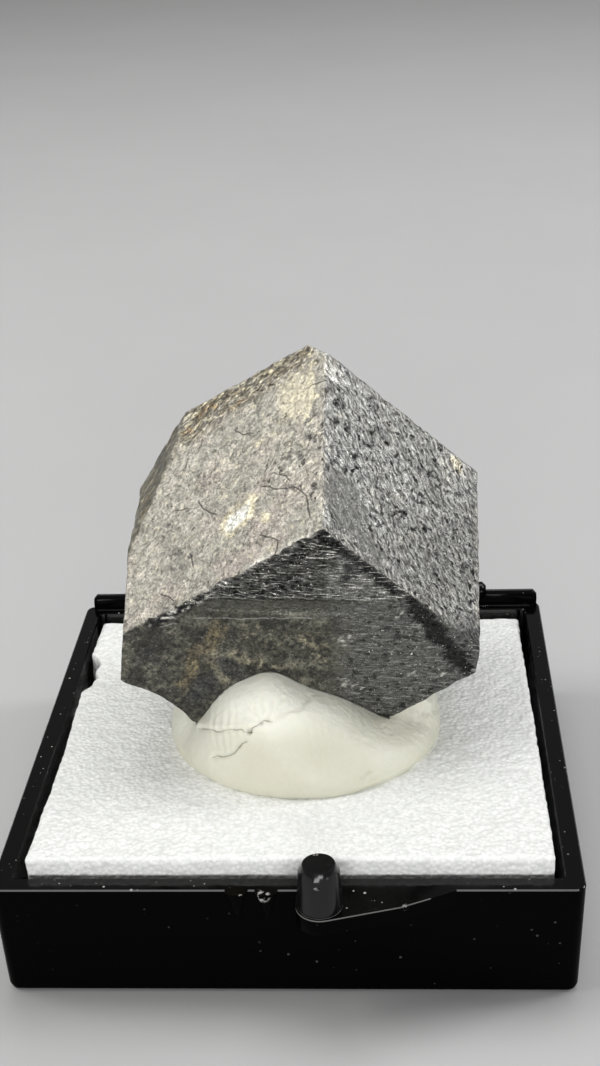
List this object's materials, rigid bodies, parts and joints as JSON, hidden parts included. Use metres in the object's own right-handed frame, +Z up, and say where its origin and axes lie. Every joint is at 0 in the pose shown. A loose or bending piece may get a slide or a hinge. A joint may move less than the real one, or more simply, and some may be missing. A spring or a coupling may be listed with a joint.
{
  "type": "magnetite crystal in a specimen box",
  "caption": "Dodecahedral magnetite crystal with a broken foot, pressed into putty on a foam block in a square black specimen box base.",
  "frame": {"origin": "middle of the flat underside of the box base, on the surface it stands on", "axes": "+Z up, -Y towards the latch side of the box and the crystal's front face, +X to the right seen from that side"},
  "size_m": [0.0318, 0.0347, 0.0297],
  "materials": {
    "magnetite": "satin, semi-metallic, finely striated and pitted",
    "mineral_putty": "matt, smooth, with finger marks",
    "white_foam": "matt, fine beaded cells",
    "black_plastic": "glossy, lightly dusty"
  },
  "bodies": {
    "root": {"crystal": "magnetite", "putty": "mineral_putty", "foam_block": "white_foam", "box_base": "black_plastic"}
  },
  "joints": []
}
